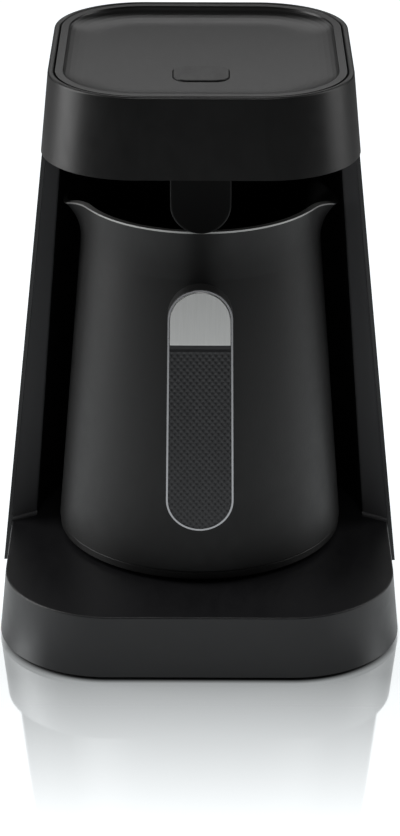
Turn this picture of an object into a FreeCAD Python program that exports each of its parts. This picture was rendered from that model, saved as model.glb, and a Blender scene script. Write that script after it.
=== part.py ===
import FreeCAD, Part
import os
import math

# Electric Turkish coffee maker. Millimetres, +Z up, the user stands on the -Y side.
# Everything is drawn with the pot's axis at X = 0, Y = 0 and moved into place when it is saved.

# Whole appliance
total_h = 216.7
base_w = 150.0
axis_to_front = 83.0
base_h = 23.5
head_h = 29.0
foot_h = 2.0
taper = 0.0971
base_corner = 41.0
top_corner = 33.0
fit_gap = 0.1
clear_gap = 0.3
thin_gap = 0.05

# Base
base_wall = 2.5
base_edge_round = 0.7
floor_t = 2.4
boss_r = 4.0
post_r = 3.0
screw_r = 1.5
screw_head_r = 2.7
screw_head_h = 1.6
base_screw_l = 12.0
base_screw_side = 25.0
base_screw_from_front = 17.0
base_screw_from_back = 15.4
foot_r = 9.0
foot_from_front = 31.0
foot_from_back = 29.4

# Tower and the bay for the pot
side_depth = 11.7
rear_room = 10.3
bay_taper = 0.0814
bay_wall = 1.8
tower_proud = 2.0
tower_wall = 1.5
tower_low = 6.0
edge_y_low = -0.2
edge_y_high = -10.0
strip_back_low = 5.9
strip_back_high = 4.0
strip_t = 2.0
strip_round = 2.0
strip_foot_h = 1.4
strip_foot_out = 1.3
strip_foot_round = 0.9
tower_post_out = 3.1
tower_post_r = 4.5
tower_post_h = 12.5
wire_hole_r = 6.5
wire_out_low = 12.0
wire_out_high = 7.5
wire_r = 0.9
wire_pitch = 2.2

# Head
band_wall = 2.2
band_round = 0.8
panel_gap = 0.4
panel_t = 6.0
panel_drop = 0.2
border_w = 2.7
dish_depth = 3.3
dish_run = 15.0
dish_steps = 8
under_t = 2.6
head_post_side = 6.0
head_post_front = 2.0
head_post_span = 66.0
head_screw_l = 14.0

# Start button, its switch and the control board
button_w = 19.8
button_d = 17.3
button_round = 5.0
button_from_front = 38.4
button_proud = 0.5
button_gap = 0.3
button_edge = 0.35
button_travel = 1.0
flange_extra = 1.2
flange_t = 1.6
stem_r = 1.8
board_t = 1.6
board_lift = 4.0
board_side = 45.0
board_d = 78.0
board_from_button = 20.3
board_post_in = 4.0
switch_w = 6.0
switch_h = 3.6
plunger_r = 1.6
plunger_h = 1.5
button_spring_r = 5.6
button_spring_wire = 0.8
button_spring_turns = 5.0
sounder_r = 6.0
sounder_h = 7.0
sounder_in = 8.0
lamp_r = 1.2
lamp_h = 3.2
lamp_round = 0.6
lamp_from_button = 7.6
chip_w = 12.0
chip_h = 1.4
coil_w = 11.0
coil_h = 6.0
plug_w = 14.0
plug_h = 8.0

# Foam sensor that hangs under the head
nose_w = 21.6
nose_d = 10.0
nose_over_rim = 6.5
nose_clear = 1.5
nose_wall = 1.5
nose_edge = 0.8
window_w = 8.0
window_h = 5.0
window_t = 1.2
nose_flange = 3.0
nose_flange_t = 1.4
eye_w = 7.0
eye_t = 2.4
sensor_board_w = 14.0

# Power contacts in the deck
socket_r = 17.0
socket_flange_r = 20.0
socket_flange_t = 1.4
socket_h = 10.5
cover_t = 1.8
pin_r = 1.5
pin_low_r = 1.1
pin_collar_r = 2.4
pin_collar_h = 1.2
pin_bore_gap = 0.08
pin_shoulder = 3.5
pin_low = 8.3
pin_inner_x = 7.0
pin_outer_x = -12.5
pin_spring_wire = 0.6
pin_spring_turns = 3.5

# Power board in the base, and the cord gland
power_lift = 4.0
power_side = 33.0
power_d = 40.0
power_from_back = 13.4
power_post_in = 4.0
part_gap = 5.0
relay_w = 18.0
relay_d = 15.0
relay_under = 1.0
transformer_w = 18.0
transformer_under = 1.5
can_r = 4.5
can_under = 2.0
can_pitch = 12.0
terminal_w = 16.0
terminal_d = 10.0
terminal_under = 3.0
fuse_r = 2.6
fuse_l = 20.0
gland_z = 14.0
gland_r = 4.2
gland_neck_r = 3.1
gland_neck_l = 12.0
gland_bore_r = 2.6
gland_t = 1.6

# Pot
pot_clear = 9.3
pot_taper = 0.0827
pot_lift = 1.8
mouth_gap = 26.1
flare_h = 18.9
rim_out = 0.8
beak_angle = 24.0
beak_half = 7.5
beak_reach = 5.6
beak_curve = 2.4
beak_drop = 4.3
beak_shoulder = 0.55
beak_hollow = 0.12
flare_steps = 5
cup_h = 3.0
pot_edge = 0.4
cup_inset = 0.3
cup_floor_t = 2.0
spigot_h = 8.0
spigot_t = 2.0
spigot_gap = 1.2
sleeve_t = 1.2
lip_t = 0.7
lip_over = 0.25
liner_t = 0.6
liner_in_low = 7.0
liner_in_neck = 3.3
liner_floor_up = 20.5
heater_t = 4.8
heater_in = 4.5
element_in = 11.5
element_r = 3.1
element_gap = 7.0
thermostat_r = 7.5
thermostat_h = 6.0
fuse_cap_r = 1.8
fuse_cap_l = 13.0
probe_r = 2.4
probe_h = 5.0
seal_h = 1.4
plate_r = 21.0
plate_t = 2.6
plate_rim = 2.5
ring_t = 0.8
ring_w = 3.0
centre_pad_r = 2.5
glide_r = 4.0
glide_x = 38.0
glide_y = 24.0

# Handle
handle_drop = 6.7
handle_l = 92.1
handle_w_top = 22.6
handle_w_low = 24.0
handle_reach = 31.0
handle_t = 8.0
handle_round = 2.0
frame_w = 0.65
frame_t = 1.0
cap_h = 20.6
inlay_gap = 0.12
cap_proud = 0.1
cap_edge = 0.3
arm_drop = 18.5
arm_h = 24.0
arm_w = 17.0
arm_round = 4.0
arm_screw_in = 7.5
arm_screw_pitch = 9.0
arm_screw_l = 10.5
arm_screw_head_h = 1.1

V = FreeCAD.Vector
up = V(0, 0, 1)
back_dir = V(0, 1, 0)
side_dir = V(1, 0, 0)
far = 400.0
quarter = math.radians(90)
half_quarter = math.radians(45)

deck_z = foot_h + base_h
head_z = total_h - head_h
deck_under = deck_z - base_wall
screw_hole_r = screw_r + thin_gap


def proud(z):
    # How far the tower's skin stands out from the line of the base at height z.
    return tower_proud * (head_z - z) / (head_z - foot_h)


def bay_r(z):
    return base_w / 2 - side_depth - bay_taper * (z - deck_z)


bay_back = bay_r(deck_z) + bay_wall
back_y = bay_back + rear_room + tower_wall + taper * base_h - proud(deck_z)
pot_r = bay_r(deck_z) - pot_clear
pot_z = deck_z + pot_lift
cup_top = pot_z + cup_h
rim_z = head_z - mouth_gap
neck_z = rim_z - flare_h
neck_r = pot_r - pot_taper * (neck_z - cup_top)
handle_front = -(pot_r + handle_reach)
handle_top_z = rim_z - handle_drop
handle_low_z = handle_top_z - handle_l
cap_low_z = handle_top_z - cap_h
gland_lean = taper + tower_proud / (head_z - foot_h)
gland_seat = back_y - taper * (gland_z - foot_h) + proud(gland_z) + gland_lean * gland_r + fit_gap
centre_y = (handle_front - cap_proud + gland_seat + gland_t) / 2

os.makedirs("parts", exist_ok=True)


def save(name, shape):
    placed = shape.copy()
    placed.translate(V(0, -centre_y, 0))
    placed.exportStep("parts/" + name + ".step")


def group(shapes):
    return Part.makeCompound(list(shapes))


def rod(x, y, z_low, z_high, r):
    return Part.makeCylinder(r, z_high - z_low, V(x, y, z_low), up)


def tube(z_low, z_high, r_in, r_out):
    return rod(0, 0, z_low, z_high, r_out).cut(rod(0, 0, z_low, z_high, r_in))


def box(x_low, x_high, y_low, y_high, z_low, z_high):
    return Part.makeBox(x_high - x_low, y_high - y_low, z_high - z_low, V(x_low, y_low, z_low))


def edges_where(shape, test):
    return [e for e in shape.Edges if test(e)]


def rounded_rect(half_w, y_low, y_high, r, z):
    # Closed outline of a rectangle with round corners, flat at height z.
    side = half_w - r
    centres = [(side, y_low + r), (side, y_high - r), (-side, y_high - r), (-side, y_low + r)]
    corners = []
    for i, (cx, cy) in enumerate(centres):
        start = (i - 1) * quarter
        corners.append([V(cx + r * math.cos(start + turn), cy + r * math.sin(start + turn), z)
                        for turn in (0, half_quarter, quarter)])
    edges = []
    for i, corner in enumerate(corners):
        edges.append(Part.Arc(*corner).toShape())
        edges.append(Part.makeLine(corner[2], corners[(i + 1) % len(corners)][0]))
    return Part.Wire(edges)


def body_outline(z, inset):
    # The body narrows evenly with height and its corners grow tighter.
    rise = z - foot_h
    lean = taper * rise + inset
    r = base_corner + (top_corner - base_corner) * rise / (total_h - foot_h) - inset
    return rounded_rect(base_w / 2 - lean, lean - axis_to_front, back_y - lean, r, z)


def body_slab(z_low, z_high, inset_low, inset_high):
    return Part.makeLoft([body_outline(z_low, inset_low), body_outline(z_high, inset_high)], True, True)


def tower_slab(z_low, z_high, inset):
    return body_slab(z_low, z_high, inset - proud(z_low), inset - proud(z_high))


def tower_half(z):
    return base_w / 2 - taper * (z - foot_h) + proud(z)


def up_the_tower(low, high, z):
    return low + (high - low) * (z - deck_z) / (head_z - deck_z)


def coil(x, z_low, z_high, y, r, wire, turns):
    # Round-wire compression spring that fills the given height.
    height = z_high - z_low - wire
    helix = Part.makeHelix(height / turns, height, r)
    ring = Part.Wire(Part.makeCircle(wire / 2, V(r, 0, 0), back_dir))
    spring = Part.Wire(helix).makePipeShell([ring], True, True)
    spring.translate(V(x, y, z_low + wire / 2))
    return spring


def screw(x, y, z_seat, length):
    # Screw driven upwards, its head hanging below its seat.
    head = rod(x, y, z_seat - screw_head_h, z_seat, screw_head_r)
    return head.fuse(rod(x, y, z_seat, z_seat + length, screw_r)).removeSplitter()


def through_back(z, r):
    # Level hole through everything at the rear, on the centre plane.
    return Part.makeCylinder(r, far, V(0, back_y - gland_neck_l, z), back_dir)


# Base moulding: tapered skirt and deck in one, open below, with screw posts inside.
base_outer = body_slab(foot_h, deck_z, 0, 0)
base_outer = base_outer.makeFillet(base_edge_round,
                                   edges_where(base_outer, lambda e: e.BoundBox.ZMin > deck_z - fit_gap))
base_shell = base_outer.cut(body_slab(foot_h, deck_under, base_wall, base_wall))
base_screw_x = base_w / 2 - base_screw_side
base_screws = [(x, y) for x in (-base_screw_x, base_screw_x)
               for y in (base_screw_from_front - axis_to_front, back_y - base_screw_from_back)]
for x, y in base_screws:
    base_shell = base_shell.fuse(rod(x, y, foot_h + floor_t, deck_under + fit_gap, boss_r))
for x, y in base_screws:
    base_shell = base_shell.cut(rod(x, y, foot_h, deck_under - base_wall, screw_hole_r))
base_shell = base_shell.cut(rod(0, 0, deck_under - fit_gap, deck_z + fit_gap, socket_r + fit_gap))
diagonal = math.sqrt(0.5)
wire_low = (bay_back + wire_out_low) * diagonal
wire_high = (bay_r(head_z) + bay_wall + wire_out_high) * diagonal
base_shell = base_shell.cut(rod(wire_low, wire_low, deck_under - fit_gap, deck_z + fit_gap, wire_hole_r))
tower_post_at = (bay_back + tower_post_out) * diagonal
tower_posts = [(x, tower_post_at) for x in (-tower_post_at, tower_post_at)]
for x, y in tower_posts:
    base_shell = base_shell.cut(rod(x, y, deck_under - fit_gap, deck_z + fit_gap, screw_hole_r))
base_shell = base_shell.cut(through_back(gland_z, gland_neck_r + fit_gap))
save("base_shell", base_shell)

# Bottom plate: closes the base, carries the power board on posts, pierced for the screws.
plate_top = foot_h + floor_t
power_z = plate_top + power_lift
power_w = base_w - 2 * power_side
power_back = back_y - power_from_back
power_front = power_back - power_d
bottom_plate = body_slab(foot_h, plate_top, base_wall + clear_gap, base_wall + clear_gap)
power_posts = [(x, y) for x in (power_post_in - power_w / 2, power_w / 2 - power_post_in)
               for y in (power_front + power_post_in, power_back - power_post_in)]
for x, y in power_posts:
    bottom_plate = bottom_plate.fuse(rod(x, y, plate_top - fit_gap, power_z, post_r))
for x, y in base_screws:
    sunk = rod(x, y, foot_h - fit_gap, foot_h + screw_head_h, screw_head_r + fit_gap)
    bottom_plate = bottom_plate.cut(sunk).cut(rod(x, y, foot_h, plate_top + fit_gap, screw_hole_r))
save("bottom_plate", bottom_plate)
save("bottom_screws", group(screw(x, y, foot_h + screw_head_h, base_screw_l) for x, y in base_screws))

# Rubber feet under the bottom plate.
save("rubber_feet", group(rod(x, y, 0, foot_h, foot_r) for x in (-base_screw_x, base_screw_x)
                          for y in (foot_from_front - axis_to_front, back_y - foot_from_back)))

# Rear housing: thin outer skin round the sides and back, overlapping the base's sides.
skin_low = foot_h + tower_low
skin = tower_slab(skin_low, head_z, 0).cut(tower_slab(skin_low, head_z, tower_wall))
edge_low = up_the_tower(edge_y_low, edge_y_high, skin_low)
wedge_points = [V(-far, -far, skin_low), V(-far, edge_low, skin_low), V(-far, edge_y_high, head_z),
                V(-far, -far, head_z), V(-far, -far, skin_low)]
wedge = Part.Face(Part.makePolygon(wedge_points))
skin = skin.cut(wedge.extrude(V(2 * far, 0, 0)))
skin = skin.cut(through_back(gland_z, gland_neck_r + fit_gap))
save("rear_housing", skin)


def bay_outline(z):
    # Plan of the bay lining: slanted strip, round wall behind the pot, slanted strip.
    r = bay_r(z)
    wide = r + bay_wall
    outer_x = tower_half(z) - tower_wall - fit_gap
    front = up_the_tower(edge_y_low, edge_y_high, z)
    inner_y = front + up_the_tower(strip_back_low, strip_back_high, z)
    tips = [V(-outer_x, front, z), V(-r, inner_y, z), V(r, inner_y, z), V(outer_x, front, z),
            V(outer_x, front + strip_t, z), V(wide, inner_y + bay_wall, z), V(-wide, inner_y + bay_wall, z),
            V(-outer_x, front + strip_t, z)]
    return Part.Wire([Part.makeLine(tips[0], tips[1]), Part.Arc(tips[1], V(0, r, z), tips[2]).toShape(),
                      Part.makeLine(tips[2], tips[3]), Part.makeLine(tips[3], tips[4]),
                      Part.makeLine(tips[4], tips[5]), Part.Arc(tips[5], V(0, wide, z), tips[6]).toShape(),
                      Part.makeLine(tips[6], tips[7]), Part.makeLine(tips[7], tips[0])])


def strip_foot(side):
    # Small bead along the foot of a strip, where it meets the deck.
    top = deck_z + strip_foot_h
    outer_x = tower_half(top) - tower_wall - fit_gap
    inner_x = bay_r(deck_z)
    near = edge_y_low - strip_foot_out
    deep = near + strip_back_low
    points = [V(side * outer_x, near, deck_z), V(side * inner_x, deep, deck_z),
              V(side * inner_x, deep + strip_foot_out, deck_z),
              V(side * outer_x, near + strip_foot_out, deck_z)]
    bead = Part.Face(Part.makePolygon(points + [points[0]])).extrude(V(0, 0, strip_foot_h))
    edge = edges_where(bead, lambda e: e.BoundBox.ZMin > top - fit_gap and e.BoundBox.YMin < near + fit_gap
                       and e.BoundBox.XLength > strip_foot_out)
    return bead.makeFillet(strip_foot_round, edge)


def on_bay_corner(e):
    # The long upright edges where the strips turn into the bay.
    if e.BoundBox.ZLength < head_z - deck_z - fit_gap:
        return False
    ends = sorted((v.Point for v in e.Vertexes), key=lambda p: p.z)
    return abs(abs(ends[0].x) - bay_r(deck_z)) < fit_gap


# Bay lining: the U-shaped inner wall round the pot and the slanted strips at its front.
lining = Part.makeLoft([bay_outline(deck_z), bay_outline(head_z)], True, True)
lining = lining.makeFillet(strip_round, edges_where(lining, on_bay_corner))
for side in (-1, 1):
    lining = lining.fuse(strip_foot(side))
for x, y in tower_posts:
    lining = lining.fuse(rod(x, y, deck_z, deck_z + tower_post_h, tower_post_r))
for x, y in tower_posts:
    lining = lining.cut(rod(x, y, deck_z - fit_gap, deck_z + tower_post_h - fit_gap, screw_hole_r))
save("bay_lining", lining.removeSplitter())
save("tower_screws", group(screw(x, y, deck_under, tower_post_h) for x, y in tower_posts))

# Head band: the tapered ring round the head.
band = body_slab(head_z, total_h, 0, 0).cut(body_slab(head_z, total_h, band_wall, band_wall))
band = band.makeFillet(band_round, edges_where(band, lambda e: e.BoundBox.ZMin > total_h - fit_gap))
save("head_band", band)

# Head underside: plate inside the band's lower edge; the sensor passes through it.
head_front = taper * (total_h - foot_h) - axis_to_front
button_y = head_front + button_from_front
board_w = base_w - 2 * board_side
board_front = button_y - board_from_button
board_back = board_front + board_d
under_low = head_z + fit_gap
under_high = under_low + under_t
board_z = under_high + board_lift
board_top = board_z + board_t
nose_front = -(neck_r + rim_out + nose_over_rim)
nose_back = nose_front + nose_d
under = body_slab(under_low, under_high, band_wall + fit_gap, band_wall + fit_gap)
board_posts = [(x, y) for x in (board_post_in - board_w / 2, board_w / 2 - board_post_in)
               for y in (board_front + board_post_in, board_back - board_post_in)]
for x, y in board_posts:
    under = under.fuse(rod(x, y, under_high - fit_gap, board_z, post_r))
head_post_x = board_w / 2 + head_post_side
head_posts = [(x, y) for x in (-head_post_x, head_post_x)
              for y in (board_front - head_post_front, board_front - head_post_front + head_post_span)]
for x, y in head_posts:
    under = under.cut(rod(x, y, under_low - fit_gap, under_low + screw_head_h, screw_head_r + fit_gap))
    under = under.cut(rod(x, y, under_low, under_high + fit_gap, screw_hole_r))
under = under.cut(box(-nose_w / 2 - fit_gap, nose_w / 2 + fit_gap, nose_front - fit_gap, nose_back + fit_gap,
                      under_low - fit_gap, under_high + fit_gap))
under = under.cut(rod(wire_high, wire_high, under_low - fit_gap, under_high + fit_gap, wire_hole_r))
save("head_underside", under)

# Top panel: flat border, shallow dish, opening for the button, and posts for the head screws.
panel_z = total_h - panel_drop
panel_low = panel_z - panel_t
panel_edge = band_wall + panel_gap
panel = body_slab(panel_low, panel_z, panel_edge, panel_edge)
dish_turns = [quarter * i / dish_steps for i in range(dish_steps + 1)]
dish = Part.makeLoft([body_outline(panel_z - dish_depth * math.sin(turn),
                                   panel_edge + border_w + dish_run * (1 - math.cos(turn)))
                      for turn in dish_turns], True, True)
panel = panel.cut(dish)


def button_block(grow, z_low, z_high):
    half_d = button_d / 2 + grow
    half_w = button_w / 2 + grow
    outline = rounded_rect(half_w, button_y - half_d, button_y + half_d, button_round + grow, z_low)
    return Part.Face(outline).extrude(V(0, 0, z_high - z_low))


panel = panel.cut(button_block(button_gap, panel_low - fit_gap, panel_z))
for x, y in head_posts:
    panel = panel.fuse(rod(x, y, under_high + fit_gap, panel_low + fit_gap, boss_r))
for x, y in head_posts:
    panel = panel.cut(rod(x, y, under_high, panel_low - panel_gap, screw_hole_r))
save("top_panel", panel)
save("head_screws", group(screw(x, y, under_low + screw_head_h, head_screw_l) for x, y in head_posts))

# Start button: cap, wider flange that holds it under the panel, and a stem onto the switch.
button_top = panel_z - dish_depth + button_proud
flange_top = panel_low - fit_gap
flange_low = flange_top - flange_t
plunger_top = board_top + switch_h + plunger_h
button = button_block(0, flange_top, button_top)
button = button.makeFillet(button_edge, edges_where(button, lambda e: e.BoundBox.ZMin > button_top - fit_gap))
button = button.fuse(button_block(flange_extra, flange_low, flange_top))
button = button.fuse(rod(0, button_y, plunger_top + thin_gap, flange_low + fit_gap, stem_r))
save("start_button", button.removeSplitter())
save("button_spring", coil(0, board_top + thin_gap, flange_low - thin_gap, button_y, button_spring_r,
                           button_spring_wire, button_spring_turns))

# Control board with its push switch, sounder, button lamp, controller, coil and wire plug.
save("control_board", box(-board_w / 2, board_w / 2, board_front, board_back, board_z, board_top))
switch_top = board_top + switch_h
switch_half = switch_w / 2
switch = box(-switch_half, switch_half, button_y - switch_half, button_y + switch_half, board_top, switch_top)
well = button_travel + clear_gap + fit_gap
switch = switch.cut(rod(0, button_y, switch_top - well, switch_top + fit_gap, plunger_r + pin_bore_gap))
save("push_switch", switch)
save("switch_plunger", rod(0, button_y, switch_top - clear_gap, plunger_top, plunger_r))
sounder_y = button_y + button_d / 2 + 2 * sounder_r
save("sounder", rod(board_w / 2 - sounder_in, sounder_y, board_top, board_top + sounder_h, sounder_r))
lamp_top = board_top + lamp_h
lamp = rod(0, button_y + lamp_from_button, board_top, lamp_top, lamp_r)
lamp = lamp.makeFillet(lamp_round, edges_where(lamp, lambda e: e.BoundBox.ZMin > lamp_top - fit_gap))
save("button_lamp", lamp)
plug_front = board_back - board_post_in - plug_w
chip = box(-chip_w, 0, plug_front - 2 * chip_w, plug_front - chip_w, board_top, board_top + chip_h)
choke = box(-chip_w - coil_w, -chip_w, plug_front, plug_front + coil_w, board_top, board_top + coil_h)
plug = box(chip_w - part_gap, chip_w, plug_front, plug_front + plug_w, board_top, board_top + plug_h)
save("control_chips", group([chip, choke, plug]))


def tongue(inset, y_low, y_high, z_high):
    # Straight-sided plate with a full-round lower end, standing in the XZ plane.
    half = nose_w / 2 - inset
    centre = nose_low + nose_w / 2
    arc = Part.Arc(V(half, y_low, centre), V(0, y_low, centre - half), V(-half, y_low, centre)).toShape()
    rest = Part.makePolygon([V(-half, y_low, centre), V(-half, y_low, z_high), V(half, y_low, z_high),
                             V(half, y_low, centre)])
    return Part.Face(Part.Wire([arc] + rest.Edges)).extrude(V(0, y_high - y_low, 0))


# Foam sensor: hollow tongue with a window that looks back over the pot, and its small board.
nose_low = rim_z + nose_clear
nose = tongue(0, nose_front, nose_back, under_high)
nose = nose.makeFillet(nose_edge, edges_where(nose, lambda e: e.BoundBox.YMax < nose_front + fit_gap
                                              and e.BoundBox.ZMin < under_low))
nose = nose.fuse(box(-nose_w / 2 - nose_flange, nose_w / 2 + nose_flange, nose_front - nose_flange / 2,
                     nose_back + nose_flange, under_high, under_high + nose_flange_t))
nose = nose.cut(tongue(nose_wall, nose_front + nose_wall, nose_back - nose_wall, far))
window_low = nose_low + nose_w / 2 - window_h / 2
window_high = window_low + window_h
nose = nose.cut(box(-window_w / 2, window_w / 2, nose_back - nose_wall - fit_gap, nose_back + fit_gap,
                    window_low, window_high))
save("sensor_housing", nose.removeSplitter())
save("sensor_window", box(thin_gap - window_w / 2, window_w / 2 - thin_gap, nose_back - nose_wall,
                          nose_back - nose_wall + window_t, window_low + thin_gap, window_high - thin_gap))
eye_back = nose_back - nose_wall - clear_gap
eye_front = eye_back - eye_t
save("sensor_board", group([box(-sensor_board_w / 2, sensor_board_w / 2, eye_front - board_t, eye_front,
                                window_low - fit_gap, under_high),
                            box(-eye_w / 2, eye_w / 2, eye_front, eye_back, window_low + clear_gap,
                                window_high - clear_gap)]))

# Contact socket in the deck with three sprung pins.
socket_low = deck_z - socket_h
shoulder_z = deck_z - pin_shoulder
pins_x = [0.0, pin_inner_x, pin_outer_x]
socket = rod(0, 0, socket_low, deck_z, socket_r)
flange_seat = deck_under - fit_gap
socket = socket.fuse(rod(0, 0, flange_seat - socket_flange_t, flange_seat, socket_flange_r))
for x in pins_x:
    socket = socket.cut(rod(x, 0, socket_low, shoulder_z, pin_collar_r + pin_bore_gap))
    socket = socket.cut(rod(x, 0, shoulder_z - fit_gap, deck_z + fit_gap, pin_r + pin_bore_gap))
save("contact_socket", socket.removeSplitter())
save("socket_cover", rod(0, 0, socket_low - cover_t, socket_low, socket_r))
collar_top = shoulder_z - thin_gap
collar_low = collar_top - pin_collar_h
pin_top = pot_z - thin_gap


def contact_pin(x):
    pin = rod(x, 0, collar_top - fit_gap, pin_top, pin_r)
    pin = pin.makeFillet(pin_r - clear_gap, edges_where(pin, lambda e: e.BoundBox.ZMin > pin_top - fit_gap))
    pin = pin.fuse(rod(x, 0, collar_low, collar_top, pin_collar_r))
    return pin.fuse(rod(x, 0, deck_z - pin_low, collar_low, pin_low_r)).removeSplitter()


save("contact_pins", group(contact_pin(x) for x in pins_x))
pin_spring_r = (pin_low_r + pin_collar_r) / 2
save("pin_springs", group(coil(x, socket_low + thin_gap, collar_low - thin_gap, 0, pin_spring_r,
                               pin_spring_wire, pin_spring_turns) for x in pins_x))

# Power board in the rear of the base, with relay, transformer, capacitors, terminals and fuse.
power_top = power_z + board_t
power_left = -power_w / 2
save("power_board", box(power_left, -power_left, power_front, power_back, power_z, power_top))
relay_x = power_left + part_gap
relay_y = power_front + 2 * power_post_in
save("relay", box(relay_x, relay_x + relay_w, relay_y, relay_y + relay_d, power_top, deck_under - relay_under))
transformer_x = relay_x + relay_w + part_gap
save("transformer", box(transformer_x, transformer_x + transformer_w, relay_y, relay_y + transformer_w,
                        power_top, deck_under - transformer_under))
can_x = relay_x + 2 * can_r
can_y = power_back - can_r - fit_gap
save("capacitors", group(rod(x, can_y, power_top, deck_under - can_under, can_r)
                         for x in (can_x, can_x + can_pitch)))
terminal_x = transformer_x + transformer_w + part_gap
save("terminal_block", box(terminal_x, terminal_x + terminal_w, power_back - terminal_d, power_back,
                           power_top, deck_under - terminal_under))
fuse_y = relay_y + 2 * fuse_r
save("fuse", Part.makeCylinder(fuse_r, fuse_l, V(terminal_x, fuse_y, power_top + fuse_r), side_dir))

# Cord gland in the rear of the base: flange outside, neck through both walls.
gland = Part.makeCylinder(gland_r, gland_t, V(0, gland_seat, gland_z), back_dir)
neck_start = V(0, gland_seat - gland_neck_l, gland_z)
gland = gland.fuse(Part.makeCylinder(gland_neck_r, gland_neck_l, neck_start, back_dir))
gland = gland.cut(Part.makeCylinder(gland_bore_r, far, V(0, 0, gland_z), back_dir))
save("cord_gland", gland.removeSplitter())


def wire_run(shift):
    # One strand: along the power board, up through the deck and the rear corner, onto the control board.
    start_x = -power_left - power_post_in
    start_y = power_back - 3 * power_post_in
    points = [V(start_x, start_y + shift, power_top + 2 * wire_r),
              V((start_x + 2 * wire_low) / 3, (start_y + wire_low) / 2 + shift, power_top + 4 * wire_r),
              V(wire_low, wire_low + shift, deck_under - base_wall),
              V(wire_low, wire_low + shift, deck_z + wire_hole_r),
              V(wire_high, wire_high + shift, head_z - wire_hole_r),
              V(wire_high - wire_pitch, wire_high + shift, board_top + wire_r),
              V(board_w / 2 - board_post_in, board_back - 2 * board_post_in + shift, board_top + 3 * wire_r)]
    path = Part.BSplineCurve()
    path.interpolate(points)
    start = path.tangent(path.FirstParameter)[0]
    section = Part.Wire(Part.makeCircle(wire_r, points[0], start))
    return Part.Wire(path.toShape()).makePipeShell([section], True, True)


save("head_wires", group(wire_run(shift) for shift in (-wire_pitch, 0.0, wire_pitch)))


def pot_section(z, r, tip):
    # Plan of the pot at height z: a circle that is drawn out into a pouring lip on each side.
    turn = math.radians(beak_angle)
    shoulder_turn = math.asin(beak_half / r)
    mid_turn = (turn + shoulder_turn) / 2
    leave = V(r * math.cos(turn), r * math.sin(turn), z)
    bend = V(r * math.cos(mid_turn) + (tip - r) * beak_hollow, r * math.sin(mid_turn), z)
    shoulder = V(r * math.cos(shoulder_turn) + (tip - r) * beak_shoulder, beak_half, z)

    def at(p, sx, sy):
        return V(sx * p.x, sy * p.y, z)

    arcs = [(at(leave, -1, -1), V(0, -r, z), at(leave, 1, -1)),
            (at(leave, 1, -1), at(bend, 1, -1), at(shoulder, 1, -1)),
            (at(shoulder, 1, -1), V(tip, 0, z), at(shoulder, 1, 1)),
            (at(shoulder, 1, 1), at(bend, 1, 1), at(leave, 1, 1)),
            (at(leave, 1, 1), V(0, r, z), at(leave, -1, 1)),
            (at(leave, -1, 1), at(bend, -1, 1), at(shoulder, -1, 1)),
            (at(shoulder, -1, 1), V(-tip, 0, z), at(shoulder, -1, -1)),
            (at(shoulder, -1, -1), at(bend, -1, -1), at(leave, -1, -1))]
    return Part.Wire([Part.Arc(*arc).toShape() for arc in arcs])


def pot_form(low_z, low_r, narrow_r, top_r):
    # Straight cone up to the neck, then a flare whose lips curve outwards faster and faster.
    cone = Part.makeCone(low_r, narrow_r, neck_z - low_z, V(0, 0, low_z), up)
    sections = []
    for i in range(flare_steps):
        rise = flare_h * i / (flare_steps - 1)
        part = rise / flare_h
        r = narrow_r - pot_taper * rise + (top_r - narrow_r + pot_taper * flare_h) * part * part
        reach = beak_reach * (rise / (flare_h - beak_drop)) ** beak_curve
        sections.append(pot_section(neck_z + rise, r, r + reach))
    return cone.fuse(Part.makeLoft(sections, True, False))


def above_rim(drop):
    # Everything above the rim: level at front and back, curving down to the two lips.
    low = rim_z - drop
    tip_x = neck_r + rim_out + beak_reach
    level_x = neck_r * math.cos(math.radians(beak_angle)) - beak_reach / 2
    run = tip_x - level_x
    bend_r = (run * run + beak_drop * beak_drop) / (2 * beak_drop)
    swing = math.asin(run / bend_r) / 2
    end = V(tip_x, -far, low - beak_drop)
    start = V(level_x, -far, low)
    mid = V(level_x + bend_r * math.sin(swing), -far, low - bend_r * (1 - math.cos(swing)))
    fall = Part.Arc(start, mid, end).toShape()
    left = [V(-p.x, p.y, p.z) for p in (end, mid, start)]
    rest = Part.makePolygon([end, V(far, -far, end.z), V(far, -far, far), V(-far, -far, far),
                             V(-far, -far, end.z), left[0]])
    outline = Part.Wire([fall] + rest.Edges + [Part.Arc(*left).toShape(), Part.makeLine(left[2], start)])
    return Part.Face(outline).extrude(V(0, 2 * far, 0))


# Pot sleeve: the dark outer wall, from the base cup to just under the metal lip.
rim_r = neck_r + rim_out
under_lip = above_rim(lip_t)
sleeve = pot_form(cup_top, pot_r, neck_r, rim_r)
sleeve = sleeve.cut(pot_form(cup_top, pot_r - sleeve_t, neck_r - sleeve_t, rim_r - sleeve_t)).cut(under_lip)
arm_top = handle_top_z - arm_drop
arm_low = arm_top - arm_h
arm_screws = [arm_low + arm_screw_in, arm_low + arm_screw_in + arm_screw_pitch]
for z in arm_screws:
    sleeve = sleeve.cut(Part.makeCylinder(screw_hole_r, pot_r, V(0, -pot_r, z), back_dir))
sleeve = sleeve.removeSplitter()
sleeve = sleeve.makeFillet(pot_edge, edges_where(sleeve, lambda e: e.BoundBox.ZMax < cup_top + fit_gap
                                                 and e.BoundBox.XLength > 2 * (pot_r - fit_gap)))
save("pot_sleeve", sleeve)

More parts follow.
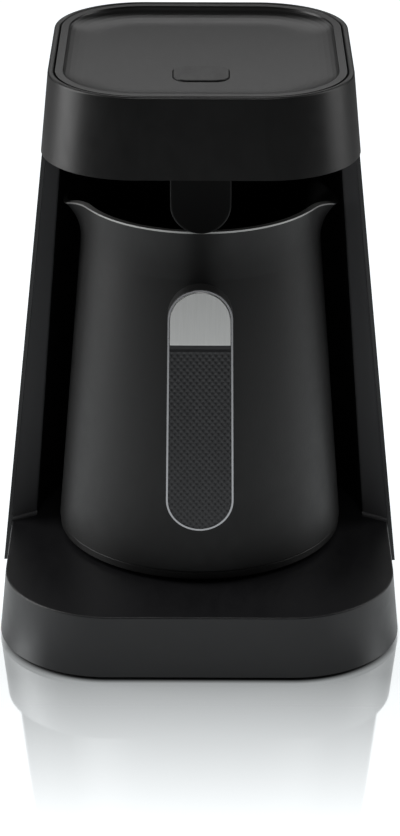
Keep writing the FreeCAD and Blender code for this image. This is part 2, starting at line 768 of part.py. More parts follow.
# Pot lining: steel vessel whose lip folds over the sleeve's upper edge.
liner_floor = deck_z + liner_floor_up
liner_low_r = pot_r - liner_in_low
liner_neck_r = neck_r - liner_in_neck
liner_rim_r = rim_r - sleeve_t - fit_gap
liner_lean = (liner_low_r - liner_neck_r) / (neck_z - liner_floor)
inside = pot_form(liner_floor + liner_t, liner_low_r - liner_t * (1 + liner_lean), liner_neck_r - liner_t,
                  liner_rim_r - liner_t)
vessel = pot_form(liner_floor, liner_low_r, liner_neck_r, liner_rim_r).cut(inside)
over = pot_form(cup_top, pot_r + lip_over, neck_r + lip_over, rim_r + lip_over)
lip = over.cut(inside).common(under_lip)
pot_lining = vessel.cut(under_lip).fuse(lip).cut(above_rim(0))
save("pot_lining", pot_lining.removeSplitter())

# Base cup of the pot: visible ring, floor and a spigot inside the sleeve.
spigot_r = pot_r - sleeve_t - spigot_gap
spigot_top = cup_top + spigot_h
cup = rod(0, 0, pot_z, cup_top, pot_r - cup_inset)
cup = cup.makeFillet(pot_edge, [e for e in cup.Edges if e.BoundBox.ZLength < fit_gap])
cup = cup.fuse(rod(0, 0, cup_top - fit_gap, spigot_top, spigot_r))
cup = cup.cut(rod(0, 0, pot_z + cup_floor_t, far, spigot_r - spigot_t))
cup = cup.cut(rod(0, 0, pot_z - fit_gap, far, plate_r + fit_gap))
save("pot_base_cup", cup.removeSplitter())
save("base_seal", tube(spigot_top, spigot_top + seal_h, spigot_r - spigot_t, spigot_r))
save("pot_glides", group(rod(x, y, deck_z + thin_gap, pot_z, glide_r)
                         for x in (-glide_x, glide_x) for y in (-glide_y, glide_y)))

# Contact plate of the pot with one round pad and two rings that meet the sprung pins.
contact_plate = rod(0, 0, pot_z, pot_z + plate_t, plate_r)
contact_plate = contact_plate.fuse(rod(0, 0, pot_z + cup_floor_t, pot_z + plate_t, plate_r + plate_rim))
pads = [rod(0, 0, pot_z, pot_z + ring_t, centre_pad_r)]
pads += [tube(pot_z, pot_z + ring_t, abs(x) - ring_w / 2, abs(x) + ring_w / 2)
         for x in (pin_inner_x, pin_outer_x)]
for pad in pads:
    contact_plate = contact_plate.cut(pad)
save("pot_contact_plate", contact_plate.removeSplitter())
save("pot_contact_rings", group(pads))

# Heater under the steel floor: plate, tubular element, thermostat, thermal fuse and probe.
heater_r = liner_low_r - heater_in
heater_low = liner_floor - heater_t
save("heater_plate", rod(0, 0, heater_low, liner_floor, heater_r))
element_z = heater_low - element_r
element = Part.makeTorus(heater_r - element_in, element_r, V(0, 0, element_z), up)
save("heating_element", element.cut(box(-element_gap, element_gap, 0, far, 0, far)))
save("thermostat", rod(0, -thermostat_r, heater_low - thermostat_h, heater_low, thermostat_r))
fuse_cap_start = V(-fuse_cap_l / 2, thermostat_r, heater_low - fuse_cap_r)
save("thermal_fuse", Part.makeCylinder(fuse_cap_r, fuse_cap_l, fuse_cap_start, side_dir))
save("temperature_probe", rod(2 * thermostat_r, 0, heater_low - probe_h, heater_low, probe_r))


def handle_plate(inset, y_low, y_high, z_low, z_high):
    # Long plate with round ends, a little wider at the bottom, trimmed between two heights.
    r_top = handle_w_top / 2 - inset
    r_low = handle_w_low / 2 - inset
    z_top = handle_top_z - handle_w_top / 2
    z_bot = handle_low_z + handle_w_low / 2
    lean = math.asin((r_low - r_top) / (z_top - z_bot))
    top_side = V(r_top * math.cos(lean), y_low, z_top + r_top * math.sin(lean))
    low_side = V(r_low * math.cos(lean), y_low, z_bot + r_low * math.sin(lean))
    top_other = V(-top_side.x, y_low, top_side.z)
    low_other = V(-low_side.x, y_low, low_side.z)
    outline = Part.Wire([Part.Arc(top_side, V(0, y_low, z_top + r_top), top_other).toShape(),
                         Part.makeLine(top_other, low_other),
                         Part.Arc(low_other, V(0, y_low, z_bot - r_low), low_side).toShape(),
                         Part.makeLine(low_side, top_side)])
    whole = Part.Face(outline).extrude(V(0, y_high - y_low, 0))
    return whole.common(box(-far, far, y_low, y_high, z_low, z_high))


# Handle: grip bar hanging from a short arm that reaches back to the pot's neck.
bar_front = handle_front + frame_t
bar_back = handle_front + handle_t
bar = handle_plate(0, bar_front, bar_back, 0, far)
bar = bar.makeFillet(handle_round, edges_where(bar, lambda e: e.BoundBox.YMin > bar_back - fit_gap))
arm = box(-arm_w / 2, arm_w / 2, bar_back - handle_round, -neck_r / 2, arm_low, arm_top)
arm = arm.makeFillet(arm_round, edges_where(arm, lambda e: e.BoundBox.YLength > arm_h))
handle = bar.fuse(arm).cut(over)
for z in arm_screws:
    handle = handle.cut(Part.makeCylinder(screw_hole_r, neck_r, V(0, -neck_r - arm_screw_l, z), back_dir))
save("handle_body", handle.removeSplitter())


def handle_screw(z):
    # The head bears on the inside of the sleeve and the shank runs forwards into the arm.
    wall = neck_r + pot_taper * (neck_z - z)
    seat = sleeve_t + clear_gap - wall
    head = Part.makeCylinder(screw_head_r, arm_screw_head_h, V(0, seat, z), back_dir)
    shank_l = arm_screw_l - sleeve_t - clear_gap
    return head.fuse(Part.makeCylinder(screw_r, shank_l, V(0, seat - shank_l, z), back_dir)).removeSplitter()


save("handle_screws", group(handle_screw(z) for z in arm_screws))

# Face of the handle: metal frame, steel thumb plate above and textured soft grip below.
inlay = frame_w + inlay_gap
frame = handle_plate(0, handle_front, bar_front, 0, far)
save("handle_frame", frame.cut(handle_plate(frame_w, handle_front, bar_front, 0, far)))
cap = handle_plate(inlay, handle_front - cap_proud, bar_front, cap_low_z, far)
cap = cap.makeFillet(cap_edge, edges_where(cap, lambda e: e.BoundBox.YMax < handle_front))
save("handle_cap", cap)
save("handle_grip", handle_plate(inlay, handle_front + cap_proud, bar_front, 0, cap_low_z - fit_gap))
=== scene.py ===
import math
import bpy
from mathutils import Matrix, Vector


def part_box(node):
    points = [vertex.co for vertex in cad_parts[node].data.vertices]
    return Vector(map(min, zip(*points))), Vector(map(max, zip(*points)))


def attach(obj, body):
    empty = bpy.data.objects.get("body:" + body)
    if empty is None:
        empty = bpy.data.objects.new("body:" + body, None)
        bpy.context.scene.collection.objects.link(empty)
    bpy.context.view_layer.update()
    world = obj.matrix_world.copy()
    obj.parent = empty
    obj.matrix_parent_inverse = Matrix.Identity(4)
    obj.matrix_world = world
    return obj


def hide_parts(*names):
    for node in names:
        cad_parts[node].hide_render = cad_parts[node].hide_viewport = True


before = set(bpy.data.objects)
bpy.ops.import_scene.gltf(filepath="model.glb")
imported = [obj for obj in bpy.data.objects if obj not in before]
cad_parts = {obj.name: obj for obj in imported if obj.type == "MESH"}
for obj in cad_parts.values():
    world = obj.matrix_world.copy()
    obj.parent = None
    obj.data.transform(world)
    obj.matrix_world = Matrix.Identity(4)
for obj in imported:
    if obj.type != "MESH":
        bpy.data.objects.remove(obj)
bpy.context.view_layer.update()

# Base moulding.
# One injection-moulded piece of black ABS, skirt and deck together, with a fine spark-eroded grain
# that leaves it satin. It closes over the bottom plate and carries the tower.


def feed(tree, source, socket):
    """Links another node's output to this socket, or sets the socket to a plain value."""
    if isinstance(source, bpy.types.NodeSocket):
        tree.links.new(source, socket)
    else:
        socket.default_value = source


def object_place(tree):
    """Where on the piece a point lies, in metres."""
    return tree.nodes.new("ShaderNodeTexCoord").outputs["Object"]


def stretched(tree, place, scale):
    """Place that runs slower along an axis with a small scale, which draws a pattern out along it."""
    node = tree.nodes.new("ShaderNodeMapping")
    node.inputs["Scale"].default_value = scale
    tree.links.new(place, node.inputs["Vector"])
    return node.outputs["Vector"]


def noise(tree, place, per_metre, detail, rough=0.5):
    """Cloudy pattern with about this many clouds to a metre."""
    node = tree.nodes.new("ShaderNodeTexNoise")
    node.inputs["Scale"].default_value = per_metre
    node.inputs["Detail"].default_value = detail
    node.inputs["Roughness"].default_value = rough
    tree.links.new(place, node.inputs["Vector"])
    return node.outputs["Fac"]


def ramp(tree, value, low, high, start=0.0, end=1.0, smooth=False):
    """Turns a value's run from low to high into one from start to end, level outside it."""
    node = tree.nodes.new("ShaderNodeMapRange")
    if smooth:
        node.interpolation_type = "SMOOTHSTEP"
    node.inputs["From Min"].default_value = low
    node.inputs["From Max"].default_value = high
    node.inputs["To Min"].default_value = start
    node.inputs["To Max"].default_value = end
    tree.links.new(value, node.inputs["Value"])
    return node.outputs["Result"]


def paint(tree, share, first, second):
    """Colours the surface from first to second by share, and returns that colour."""
    node = tree.nodes.new("ShaderNodeMix")
    node.data_type = "RGBA"
    feed(tree, first, node.inputs["A"])
    feed(tree, second, node.inputs["B"])
    tree.links.new(share, node.inputs["Factor"])
    tree.links.new(node.outputs["Result"], tree.nodes["Principled BSDF"].inputs["Base Color"])
    return node.outputs["Result"]


def gloss_and_relief(tree, worn, rough, spread, relief, depth, strength):
    """Roughness that wanders by spread with one pattern, and relief of this depth from another."""
    noise_low, noise_high = 0.3, 0.7
    shader = tree.nodes["Principled BSDF"]
    gloss = ramp(tree, worn, noise_low, noise_high, rough - spread, rough + spread)
    tree.links.new(gloss, shader.inputs["Roughness"])
    bump = tree.nodes.new("ShaderNodeBump")
    bump.inputs["Strength"].default_value = strength
    bump.inputs["Distance"].default_value = depth
    tree.links.new(relief, bump.inputs["Height"])
    tree.links.new(bump.outputs["Normal"], shader.inputs["Normal"])


def moulded_plastic(name, colour, rough, grain=0.00035, grain_depth=0.00002, cloud=0.06, scuffs=0.04,
                    specular=0.5):
    """Grained plastic: fine pimples, a faint cloudiness in the colour and a few handling marks."""
    clouds_per_metre = 45.0
    marks_per_metre = 220.0
    mark_stretch = (1.0, 0.35, 0.6)
    material = bpy.data.materials.new(name)
    material.use_nodes = True
    tree = material.node_tree
    tree.nodes["Principled BSDF"].inputs["Specular IOR Level"].default_value = specular
    place = object_place(tree)
    clouds = noise(tree, place, clouds_per_metre, detail=4.0)
    darker = [c * (1 - cloud) for c in colour] + [1]
    lighter = [c * (1 + cloud) for c in colour] + [1]
    paint(tree, clouds, darker, lighter)
    marks = noise(tree, stretched(tree, place, mark_stretch), marks_per_metre, detail=6.0, rough=0.65)
    pimples = noise(tree, place, 1.0 / grain, detail=2.0)
    gloss_and_relief(tree, marks, rough, scuffs, pimples, grain_depth, strength=0.6)
    return material


def dress(node, material):
    """Gives a CAD node's surfaces this material."""
    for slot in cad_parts[node].material_slots:
        slot.material = material


base_black = moulded_plastic("base black", (0.008, 0.008, 0.009), rough=0.42)
dress("base_shell", base_black)

# Bottom plate, its screws, and the rubber feet.
# The plate is a plain black moulding held by four zinc-plated screws, of which the tower, head and
# handle have more; the feet are glued discs of nitrile rubber that keep the skirt off the worktop.
plate_black = moulded_plastic("plate black", (0.005, 0.005, 0.005), rough=0.6, grain=0.0006)
foot_rubber = moulded_plastic("foot rubber", (0.010, 0.010, 0.010), rough=0.8, grain=0.0009,
                              grain_depth=0.00005)
dress("bottom_plate", plate_black)
dress("rubber_feet", foot_rubber)


def worked_metal(name, colour, rough, lines=(1.0, 1.0, 1.0), lines_per_metre=400.0):
    """Metal with the lines that rolling, turning or brushing leaves; lines stretches them along an axis."""
    line_dark, line_bright = 0.86, 1.1
    line_spread = 0.06
    line_depth = 0.00001
    material = bpy.data.materials.new(name)
    material.use_nodes = True
    tree = material.node_tree
    tree.nodes["Principled BSDF"].inputs["Metallic"].default_value = 1.0
    scratch = noise(tree, stretched(tree, object_place(tree), lines), lines_per_metre, detail=5.0, rough=0.7)
    darker = [c * line_dark for c in colour] + [1]
    lighter = [min(1.0, c * line_bright) for c in colour] + [1]
    paint(tree, scratch, darker, lighter)
    gloss_and_relief(tree, scratch, rough, line_spread, scratch, line_depth, strength=0.5)
    return material


zinc = worked_metal("zinc plate", (0.55, 0.56, 0.58), rough=0.35, lines_per_metre=900.0)
for screws in ("bottom_screws", "tower_screws", "head_screws", "handle_screws"):
    dress(screws, zinc)

# Contact socket in the deck.
# A black moulding with three sprung brass pins that press up against the rings under the pot; the
# cover below holds the springs in.
dress("contact_socket", plate_black)
dress("socket_cover", plate_black)
brass = worked_metal("contact brass", (0.72, 0.52, 0.24), rough=0.25, lines_per_metre=1500.0)
dress("contact_pins", brass)
spring_wire = worked_metal("spring wire", (0.6, 0.6, 0.6), rough=0.25, lines_per_metre=1200.0)
dress("pin_springs", spring_wire)

# Power board and what is soldered to it.
# Green glass-fibre board on four posts, with a sealed relay, a taped transformer, two capacitors,
# a glass-tube fuse and the screw terminals for the mains lead.
board_green = moulded_plastic("board green", (0.015, 0.12, 0.045), rough=0.35, grain=0.0012)
dress("power_board", board_green)
dress("relay", moulded_plastic("relay blue", (0.02, 0.07, 0.32), rough=0.3, grain=0.001))
dress("transformer", moulded_plastic("transformer tape", (0.72, 0.55, 0.06), rough=0.35, grain=0.0015))
dress("terminal_block", moulded_plastic("terminal green", (0.04, 0.28, 0.09), rough=0.45))
can_silver = worked_metal("can silver", (0.7, 0.7, 0.7), rough=0.3, lines=(1.0, 1.0, 0.1))
dress("capacitors", can_silver)
dress("fuse", can_silver)

# Cord gland at the back of the base.
# A push-in bush of the same soft black rubber as the feet, through which the mains lead would go in.
dress("cord_gland", foot_rubber)

# Tower: outer housing, bay lining and the wires that climb between them.
# Both walls are black mouldings with the base's grain. The lining stands on the deck, screwed from
# below, and the housing slides over it and over the sides of the base. The lining's narrow front
# strips, which lean back as they rise, are the same black moulding but painted a lighter grey:
# painted light that stands in for the light falling on them from the front.
tower_black = moulded_plastic("tower black", (0.006, 0.006, 0.007), rough=0.42)
dress("rear_housing", tower_black)


def vector_step(tree, operation, *sources):
    """Vector Math node fed with these sources; a length or a dot product comes out as one number."""
    node = tree.nodes.new("ShaderNodeVectorMath")
    node.operation = operation
    for source, socket in zip(sources, node.inputs):
        feed(tree, source, socket)
    return node.outputs["Value" if operation in ("LENGTH", "DOT_PRODUCT") else "Vector"]


def number_step(tree, operation, *sources):
    """Math node fed with these sources."""
    node = tree.nodes.new("ShaderNodeMath")
    node.operation = operation
    for source, socket in zip(sources, node.inputs):
        feed(tree, source, socket)
    return node.outputs["Value"]


def painted_so_far(tree):
    """The colour that a finish already gives the surface."""
    return tree.nodes["Principled BSDF"].inputs["Base Color"].links[0].from_socket


strip_lean = 0.0721
strip_edge = 0.0100
# Painted light: the strips' lighter grey stands in for light from the front, not a different plastic.
strip_painted_light = (0.08, 0.08, 0.083, 1)
lining_black = moulded_plastic("lining black", (0.004, 0.004, 0.004), rough=0.5)
tree = lining_black.node_tree
leaning = vector_step(tree, "DOT_PRODUCT", object_place(tree), (0, 1, strip_lean))
painted_light_on_strip = number_step(tree, "LESS_THAN", leaning, strip_edge)
paint(tree, painted_light_on_strip, painted_so_far(tree), strip_painted_light)
dress("bay_lining", lining_black)
wire_black = moulded_plastic("wire sleeve", (0.02, 0.02, 0.02), rough=0.5, grain=0.002)
dress("head_wires", wire_black)

# Head: band, underside and top panel.
# The band is a satin black ring with a rounded rim; the panel drops into it with a fine groove all
# round and is dished so that its centre lies a few millimetres down.
head_black = moulded_plastic("head black", (0.006, 0.006, 0.006), rough=0.36, grain=0.0003)
dress("head_band", head_black)
dress("head_underside", plate_black)
panel_black = moulded_plastic("panel black", (0.008, 0.008, 0.008), rough=0.32, grain=0.0003,
                              cloud=0.03, scuffs=0.012)
dress("top_panel", panel_black)

# Start button, the switch under it and the control board.
# A square satin key with round corners, sprung, on a small push switch; the board also carries the
# sounder, the key's lamp and the controller.
button_black = moulded_plastic("button black", (0.010, 0.010, 0.010), rough=0.36, grain=0.0004)
dress("start_button", button_black)
dress("button_spring", spring_wire)
dress("control_board", board_green)
dress("push_switch", moulded_plastic("switch black", (0.02, 0.02, 0.02), rough=0.45))
dress("switch_plunger", moulded_plastic("plunger white", (0.7, 0.7, 0.66), rough=0.4))
dress("sounder", moulded_plastic("sounder black", (0.025, 0.025, 0.025), rough=0.5))
dress("button_lamp", moulded_plastic("lamp clear", (0.8, 0.8, 0.76), rough=0.15, grain=0.002))
dress("control_chips", moulded_plastic("chip black", (0.03, 0.03, 0.032), rough=0.5))

# Foam sensor under the head.
# A very dark housing with little shine, screwed to the underside plate, with a dark red window on
# its back that looks down into the pot.
sensor_black = moulded_plastic("sensor black", (0.003, 0.003, 0.003), rough=0.45, grain=0.0005,
                               specular=0.12)
dress("sensor_housing", sensor_black)
dress("sensor_window", moulded_plastic("window dark", (0.05, 0.004, 0.006), rough=0.12, grain=0.002))
dress("sensor_board", board_green)

# Pot: sleeve and coated steel vessel.
# The sleeve is black plastic with a coarser grain. The vessel inside is deep-drawn steel. Its inner
# wall, which faces the pot's axis, is black with non-stick coating; what faces up or outwards, such
# as the lip that folds over the sleeve, is bare.
sleeve_black = moulded_plastic("sleeve black", (0.004, 0.004, 0.004), rough=0.48, grain=0.0006,
                               grain_depth=0.00006, specular=0.4)
dress("pot_sleeve", sleeve_black)

coat_ends = -0.35
all_bare = -0.15
bare_steel = (0.40, 0.40, 0.39, 1)
pot_low, pot_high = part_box("pot_base_cup")
pot_axis_y = (pot_low[1] + pot_high[1]) / 2
coating = moulded_plastic("pot coating", (0.004, 0.004, 0.004), rough=0.50, grain=0.0008)
tree = coating.node_tree
from_axis = vector_step(tree, "SUBTRACT", object_place(tree), (0.0, pot_axis_y, 0.0))
outward = vector_step(tree, "NORMALIZE", vector_step(tree, "MULTIPLY", from_axis, (1.0, 1.0, 0.0)))
facing = tree.nodes.new("ShaderNodeNewGeometry").outputs["True Normal"]
bare = ramp(tree, vector_step(tree, "DOT_PRODUCT", outward, facing), coat_ends, all_bare)
paint(tree, bare, painted_so_far(tree), bare_steel)
tree.links.new(bare, tree.nodes["Principled BSDF"].inputs["Metallic"])
dress("pot_lining", coating)

# Pot: base cup, contacts and heater.
# The cup is a black moulding glued into the sleeve. It carries the heater's aluminium plate with its
# tubular element, the safety parts, and the round contact plate whose rings meet the sprung pins.
cup_black = moulded_plastic("cup black", (0.004, 0.004, 0.004), rough=0.45)
dress("pot_base_cup", cup_black)
dress("pot_glides", foot_rubber)
dress("pot_contact_plate", plate_black)
dress("pot_contact_rings", brass)
dress("heater_plate", worked_metal("heater aluminium", (0.75, 0.75, 0.76), rough=0.4, lines_per_metre=250.0))
dress("heating_element", worked_metal("element steel", (0.40, 0.37, 0.34), rough=0.45, lines_per_metre=500.0))
dress("thermostat", can_silver)
dress("thermal_fuse", can_silver)
dress("temperature_probe", brass)
dress("base_seal", moulded_plastic("seal silicone", (0.62, 0.62, 0.6), rough=0.6, grain=0.001))

# Handle: body, metal frame and steel thumb plate.
# The body is black plastic screwed to the pot's neck; a thin metal frame runs round its face, and a
# brushed steel thumb plate is pressed into the upper part.
handle_black = moulded_plastic("handle black", (0.006, 0.006, 0.006), rough=0.40)
dress("handle_body", handle_black)
frame_steel = worked_metal("frame steel", (0.34, 0.34, 0.35), rough=0.3, lines_per_metre=800.0)
dress("handle_frame", frame_steel)
upright_brushing = (1.0, 1.0, 0.03)
cap_steel = worked_metal("thumb plate steel", (0.60, 0.60, 0.59), rough=0.36, lines=upright_brushing,
                         lines_per_metre=2500.0)
dress("handle_cap", cap_steel)

# Grip: soft inlay below the thumb plate.
# Moulded in dark grey rubber and pressed into the frame. Its face is pitted all over with small round
# hollows in staggered rows, and the strip under the thumb plate is plain and a little lower.
grip_low, grip_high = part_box("handle_grip")
pit_across = 0.0022
pit_down = 0.0026
pit_depth = 0.00035
pit_rings = ((0.00030, 0.45), (0.00055, 0.55))
cell_cuts = 6
strip_deep = 0.0003
strip_high = 0.0021
side_lean = 0.0076
end_steps = 16
smooth_below = math.radians(50)
grip_w = grip_high[0] - grip_low[0]
grip_h = grip_high[2] - grip_low[2]
grip_face = grip_low[1]
grip_back = grip_high[1]
step_x = pit_across / cell_cuts
step_z = pit_down / cell_cuts
across = math.ceil(grip_w / step_x / 2) * 2
down = math.ceil(grip_h / step_z)
bpy.ops.object.select_all(action="DESELECT")
bpy.ops.mesh.primitive_grid_add(x_subdivisions=across, y_subdivisions=down, size=1, location=(0, 0, 0))
grip = bpy.context.object
grip.name = "grip_skin"
sheet = grip.data
bpy.ops.object.mode_set(mode="EDIT")
bpy.ops.mesh.select_all(action="SELECT")
bpy.ops.transform.resize(value=(across * step_x, down * step_z, 1), center_override=(0, 0, 0))
bpy.ops.transform.rotate(value=math.radians(90), orient_axis="X", center_override=(0, 0, 0))
bpy.ops.transform.translate(value=(0, grip_face, grip_high[2] - down * step_z / 2))


def pick(test):
    """Selects the grip's vertices for which the test is true, and nothing else."""
    bpy.ops.object.mode_set(mode="EDIT")
    bpy.ops.mesh.select_mode(type="VERT")
    bpy.ops.mesh.select_all(action="DESELECT")
    bpy.ops.object.mode_set(mode="OBJECT")
    for vertex in sheet.vertices:
        vertex.select = test(vertex.co)
    bpy.ops.object.mode_set(mode="EDIT")


def from_pit(point):
    """Distance from a point on the grip to the middle of the nearest hollow."""
    row = (grip_high[2] - strip_high - point.z) / (pit_down / 2)
    nearest = pit_down
    for near_row in (math.floor(row), math.ceil(row)):
        shift = 0.5 * (near_row % 2)
        column = round(point.x / pit_across - shift) + shift
        gap_x = point.x - column * pit_across
        gap_z = (row - near_row) * pit_down / 2
        if near_row >= 1:
            nearest = min(nearest, math.hypot(gap_x, gap_z))
    return nearest


# The hollows are pushed in ring by ring, the inner ring twice, and then the plain strip.
for ring_r, depth_share in pit_rings:
    pick(lambda point: from_pit(point) < ring_r)
    bpy.ops.transform.translate(value=(0, pit_depth * depth_share, 0))
pick(lambda point: point.z > grip_high[2] - strip_high)
bpy.ops.transform.translate(value=(0, strip_deep, 0))

# The sheet is cut to the grip's outline: sides that close in upwards, and a round lower end.
end_r = grip_w / 2
end_z = grip_low[2] + end_r
cuts = [((side * end_r, 0, end_z), (side, 0, side_lean)) for side in (-1, 1)]
for step in range(end_steps + 1):
    swing = math.pi * (1 + step / end_steps)
    out = Vector((math.cos(swing), 0, math.sin(swing)))
    cuts.append((Vector((0, 0, end_z)) + end_r * out, out))
for cut_at, cut_away in cuts:
    bpy.ops.mesh.select_all(action="SELECT")
    bpy.ops.mesh.bisect(plane_co=cut_at, plane_no=cut_away, clear_outer=True)

# Its rim is drawn back to the grip's rear face and closed there.
bpy.ops.mesh.select_all(action="SELECT")
bpy.ops.mesh.region_to_loop()
bpy.ops.mesh.extrude_region_move()
bpy.ops.transform.resize(value=(1, 0, 1), center_override=(0, grip_back, 0))
bpy.ops.mesh.edge_face_add()
bpy.ops.mesh.select_all(action="SELECT")
bpy.ops.mesh.normals_make_consistent(inside=False)
bpy.ops.object.mode_set(mode="OBJECT")
bpy.ops.object.shade_smooth_by_angle(angle=smooth_below)
sheet.materials.append(moulded_plastic("grip rubber", (0.016, 0.016, 0.018), rough=0.52, grain=0.0004))
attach(grip, "pot")
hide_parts("handle_grip")

# Studio floor.
# A pale sheet. To the camera it is white all over but under the base, where a painted shadow cuts
# out its glow; its light falls on the appliance only from the part near to it, as from a lit table
# in a dark room. In front of the appliance it is polished, and mirrors the base fainter and fainter
# towards the viewer.
floor_half = 3.0
floor_white = 0.97
lit_near, lit_far = 0.26, 0.50
lit_strength, far_strength = 0.85, 0.02
glow_colour = (0.94, 0.985, 1, 1)
matt_grey = (0.5, 0.5, 0.5, 1)
base_corner_r = 0.041
shade_inside, shade_outside = 0.002, 0.001
mirror_rough = 0.05
mirror_colour = (0.96, 0.99, 1, 1)
mirror_front, mirror_full = -0.20, -0.075
mirror_share = 0.74
mirror_rear, mirror_end = -0.055, -0.03
mirror_side, mirror_outside = 0.082, 0.11


def bare_tree(material):
    """Node tree of a new material that holds only its output."""
    material.use_nodes = True
    material.node_tree.nodes.remove(material.node_tree.nodes["Principled BSDF"])
    return material.node_tree


def camera_sees(tree, to_camera, to_others):
    """Strength with one value for the camera and another for all that the surface lights."""
    ray = tree.nodes.new("ShaderNodeLightPath")
    node = tree.nodes.new("ShaderNodeMix")
    tree.links.new(ray.outputs["Is Camera Ray"], node.inputs["Factor"])
    feed(tree, to_others, node.inputs["A"])
    feed(tree, to_camera, node.inputs["B"])
    return node.outputs["Result"]


bpy.ops.object.select_all(action="DESELECT")
bpy.ops.mesh.primitive_plane_add(size=2 * floor_half, location=(0, 0, 0))
floor = bpy.context.object
floor.name = "studio_floor"
floor_paint = bpy.data.materials.new("floor paint")
tree = bare_tree(floor_paint)
place = object_place(tree)
lit = ramp(tree, vector_step(tree, "LENGTH", place), lit_near, lit_far, lit_strength, far_strength,
           smooth=True)
strength = camera_sees(tree, floor_white, to_others=lit)

# Painted shadow of the base: the floor's glow is cut out inside the base's outline and 1 mm past it.
# Distance from the base's outline, by folding its four round corners onto one.
base_low, base_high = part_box("base_shell")
base_middle_y = (base_low[1] + base_high[1]) / 2
corner_at = (base_high[0] - base_corner_r, base_high[1] - base_middle_y - base_corner_r, 0)
folded = vector_step(tree, "ABSOLUTE", vector_step(tree, "SUBTRACT", place, (0, base_middle_y, 0)))
past_corner = vector_step(tree, "MAXIMUM", vector_step(tree, "SUBTRACT", folded, corner_at), (0, 0, 0))
outside_painted_shadow = ramp(tree, vector_step(tree, "LENGTH", past_corner), base_corner_r - shade_inside,
                 base_corner_r + shade_outside)
glow = tree.nodes.new("ShaderNodeEmission")
glow.inputs["Color"].default_value = glow_colour
tree.links.new(number_step(tree, "MULTIPLY", strength, outside_painted_shadow), glow.inputs["Strength"])
matt = tree.nodes.new("ShaderNodeBsdfDiffuse")
matt.inputs["Color"].default_value = matt_grey
both = tree.nodes.new("ShaderNodeAddShader")
tree.links.new(glow.outputs["Emission"], both.inputs[0])
tree.links.new(matt.outputs["BSDF"], both.inputs[1])

# The polished part fades out to the front, under the base and to the sides.
polish = tree.nodes.new("ShaderNodeBsdfGlossy")
polish.inputs["Roughness"].default_value = mirror_rough
polish.inputs["Color"].default_value = mirror_colour
parted = tree.nodes.new("ShaderNodeSeparateXYZ")
tree.links.new(place, parted.inputs["Vector"])
sideways = number_step(tree, "ABSOLUTE", parted.outputs["X"])
in_front = ramp(tree, parted.outputs["Y"], mirror_front, mirror_full, 0.0, mirror_share)
not_behind = ramp(tree, parted.outputs["Y"], mirror_rear, mirror_end, 1.0, 0.0)
not_aside = ramp(tree, sideways, mirror_side, mirror_outside, 1.0, 0.0)
polished = number_step(tree, "MULTIPLY", in_front, number_step(tree, "MULTIPLY", not_aside, not_behind))
mirror = tree.nodes.new("ShaderNodeMixShader")
tree.links.new(polished, mirror.inputs["Fac"])
tree.links.new(both.outputs["Shader"], mirror.inputs[1])
tree.links.new(polish.outputs["BSDF"], mirror.inputs[2])
tree.links.new(mirror.outputs["Shader"], tree.nodes["Material Output"].inputs["Surface"])
floor.data.materials.append(floor_paint)

# Studio backdrop.
# A white card behind; to everything but the camera its lower part is in shade, so that it lights the
# floor's reflection and the top panel but not the sides of the tower.
backdrop_y = 3.0
backdrop_h = 2.1
below_floor = 0.01
shade_top, card_full = 1.42, 1.65
shade_strength, card_strength = 0.03, 0.9
bpy.ops.object.select_all(action="DESELECT")
bpy.ops.mesh.primitive_plane_add(size=1, location=(0, 0, 0))
backdrop = bpy.context.object
backdrop.name = "studio_backdrop"
bpy.ops.object.mode_set(mode="EDIT")
bpy.ops.mesh.select_all(action="SELECT")
bpy.ops.transform.resize(value=(2 * floor_half, backdrop_h, 1), center_override=(0, 0, 0))
bpy.ops.transform.rotate(value=math.radians(90), orient_axis="X", center_override=(0, 0, 0))
bpy.ops.transform.translate(value=(0, backdrop_y, backdrop_h / 2 - below_floor))
bpy.ops.object.mode_set(mode="OBJECT")
backdrop_paint = bpy.data.materials.new("backdrop paint")
tree = bare_tree(backdrop_paint)
parted = tree.nodes.new("ShaderNodeSeparateXYZ")
tree.links.new(tree.nodes.new("ShaderNodeNewGeometry").outputs["Position"], parted.inputs["Vector"])
card = ramp(tree, parted.outputs["Z"], shade_top, card_full, shade_strength, card_strength)
light = tree.nodes.new("ShaderNodeEmission")
tree.links.new(camera_sees(tree, 1.0, to_others=card), light.inputs["Strength"])
tree.links.new(light.outputs["Emission"], tree.nodes["Material Output"].inputs["Surface"])
backdrop.data.materials.append(backdrop_paint)

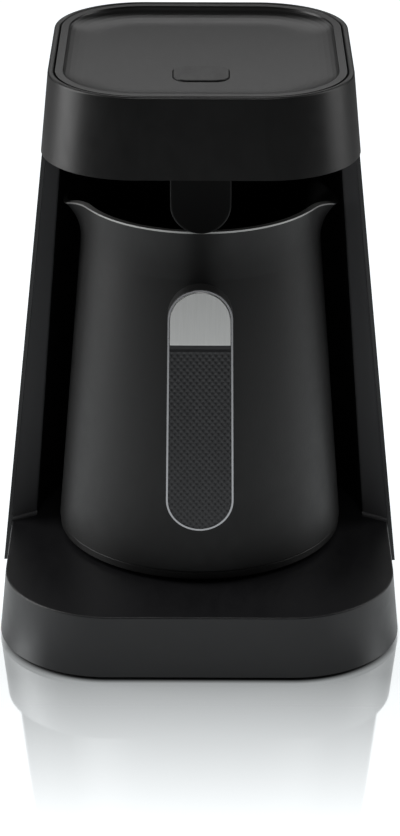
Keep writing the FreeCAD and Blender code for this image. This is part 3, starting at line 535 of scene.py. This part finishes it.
# Lamps and the dark room.
# Two tall soft boxes at the appliance's left and right draw the soft bands of light on its corners;
# a low strip behind the head lights the top panel from the rear, and a large box in front and above
# fills in the faces that the user sees. The room is nearly black, but white to the camera.


def soft_lamp(name, place, aim, width, height, power):
    """Rectangular soft box that faces a point on the appliance."""
    lamp = bpy.data.lights.new(name, "AREA")
    lamp.shape = "RECTANGLE"
    lamp.size = width
    lamp.size_y = height
    lamp.energy = power
    box = bpy.data.objects.new(name, lamp)
    bpy.context.collection.objects.link(box)
    box.location = place
    box.rotation_euler = (Vector(aim) - Vector(place)).to_track_quat("-Z", "Y").to_euler()


middle = (0.0, 0.0, 0.10)
panel_top = (0.0, 0.0, 0.2167)
soft_lamp("left_strip", (-0.90, 0.05, 0.45), middle, width=0.55, height=1.4, power=9.4)
soft_lamp("right_strip", (0.885, 0.10, 0.45), middle, width=0.50, height=1.4, power=4.0)
soft_lamp("rear_strip", (0.0, 0.24, 0.32), panel_top, width=0.4, height=0.05, power=0.05)
soft_lamp("front_top", (0.0, -0.6, 1.2), middle, width=0.6, height=0.5, power=2.5)

room_dark = 0.02
world = bpy.data.worlds.new("studio")
bpy.context.scene.world = world
world.use_nodes = True
background = world.node_tree.nodes["Background"]
background.inputs["Color"].default_value = (1, 1, 1, 1)
room = camera_sees(world.node_tree, 1.0, to_others=room_dark)
world.node_tree.links.new(room, background.inputs["Strength"])

# Camera.
# It stands 1.03 m in front of the pot's axis and looks down on the appliance by 24 degrees. The
# focal length is in pixels of the photograph, whose longer side is its height.
frame_px_high = 836.0
focal_px = 2952.6
sensor_mm = 36.0
camera_back = 1.0311
camera_up = 0.5283
tilt = 0.4191
roll = 0.0032
lens = bpy.data.cameras.new("view")
lens.sensor_width = sensor_mm
lens.lens = focal_px * sensor_mm / frame_px_high
camera = bpy.data.objects.new("view", lens)
bpy.context.collection.objects.link(camera)
turn = Matrix.Rotation(math.radians(90) - tilt, 4, "X") @ Matrix.Rotation(roll, 4, "Z")
camera.matrix_world = Matrix.Translation((0, pot_axis_y - camera_back, camera_up)) @ turn
bpy.context.scene.camera = camera
bpy.context.scene.view_settings.view_transform = "Standard"
